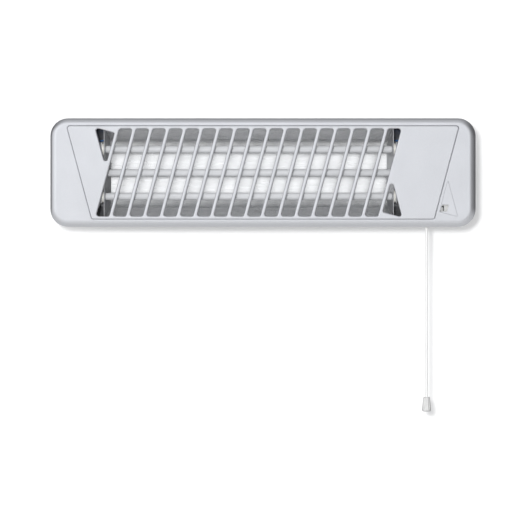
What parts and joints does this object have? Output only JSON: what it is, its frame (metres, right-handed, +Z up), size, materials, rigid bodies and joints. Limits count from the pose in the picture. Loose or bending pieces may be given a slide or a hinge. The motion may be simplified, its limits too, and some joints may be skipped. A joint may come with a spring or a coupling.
{
  "type": "quartz heater",
  "caption": "Wall heater with horizontal quartz tubes, a bright reflector, a slanted slat grille in a silver housing that tilts on its wall bracket, and a pull-cord switch.",
  "frame": {"origin": "middle of the two wall screws, on the wall's face", "axes": "+X along the heater to the right as seen from the front, +Y into the wall, +Z up; the front faces -Y"},
  "size_m": [0.595, 0.112, 0.4108],
  "materials": {
    "silver_paint": "cast aluminium in satin silver paint with a fine metallic flake",
    "bracket_steel": "satin silver-grey powder coat",
    "steel": "zinc-plated",
    "reflector": "bright anodised",
    "quartz": "milky fused quartz",
    "coil": "oxidised resistance wire",
    "ceramic": "fired white ceramic",
    "brass": "bright",
    "white_plastic": "moulded",
    "lens": "clear",
    "rubber": "matt black",
    "lead_white": "silicone sleeve",
    "lead_brown": "silicone sleeve",
    "lead_blue": "silicone sleeve",
    "lead_green": "silicone sleeve, green and yellow",
    "cord": "braided white cord",
    "bob_plastic": "light grey moulded plastic"
  },
  "bodies": {
    "wall_bracket": {"wall_bracket": "bracket_steel", "pivot_bolts": "steel", "pivot_nuts": "steel", "friction_washers": "rubber"},
    "housing": {"rear_shell": "silver_paint", "front_frame": "silver_paint", "frame_screws": "steel", "grille_panel": "silver_paint", "push_nuts": "steel", "level_insert": "silver_paint", "window_lens": "lens", "reflector": "reflector", "reflector_end_left": "reflector", "reflector_end_right": "reflector", "reflector_brackets": "steel", "reflector_screws": "steel", "quartz_tube_top": "quartz", "quartz_tube_middle": "quartz", "quartz_tube_bottom": "quartz", "heating_coil_top": "coil", "heating_coil_middle": "coil", "heating_coil_bottom": "coil", "ceramic_caps_left": "ceramic", "ceramic_caps_right": "ceramic", "tube_rack_left": "steel", "tube_rack_right": "steel", "rack_screws": "steel", "terminal_studs_left": "brass", "terminal_studs_right": "brass", "neutral_bus": "brass", "switch_body": "white_plastic", "switch_bracket": "steel", "switch_screws": "steel", "cord_guide": "white_plastic", "terminal_block": "ceramic", "terminal_screws": "brass", "earth_screw": "brass", "cable_grommet": "rubber", "heating_leads": "lead_white", "live_lead": "lead_brown", "neutral_lead": "lead_blue", "earth_lead": "lead_green", "return_spring": "steel"},
    "level_drum": {"level_drum": "white_plastic"},
    "pull_rod": {"pull_rod": "white_plastic"},
    "cord": {"cord_link": "white_plastic", "pull_cord": "cord", "cord_bob": "bob_plastic", "cord_knot": "cord"}
  },
  "joints": [
    {"name": "tilt", "type": "hinge", "parent": "wall_bracket", "child": "housing", "pos_m": [0, -0.03, 0], "axis": [1, 0, 0], "range_deg": [0, 40]},
    {"name": "level_turn", "type": "hinge", "parent": "housing", "child": "level_drum", "pos_m": [0.2535, -0.086, -0.0499], "axis": [1, 0, 0], "continuous": true},
    {"name": "cord_pull", "type": "slide", "parent": "housing", "child": "pull_rod", "axis": [0, 0, -1], "range_m": [0, 0.012], "stiffness_N_per_m": 300, "springref_m": -0.01, "deforming": ["return_spring"]},
    {"name": "cord_swing", "type": "hinge", "parent": "pull_rod", "child": "cord", "pos_m": [0.2293, -0.094, -0.07], "axis": [1, 0, 0], "range_deg": [-40, 0]}
  ],
  "couplings": [
    {"joint": "cord_swing", "follows": "tilt", "ratio": -1}
  ]
}
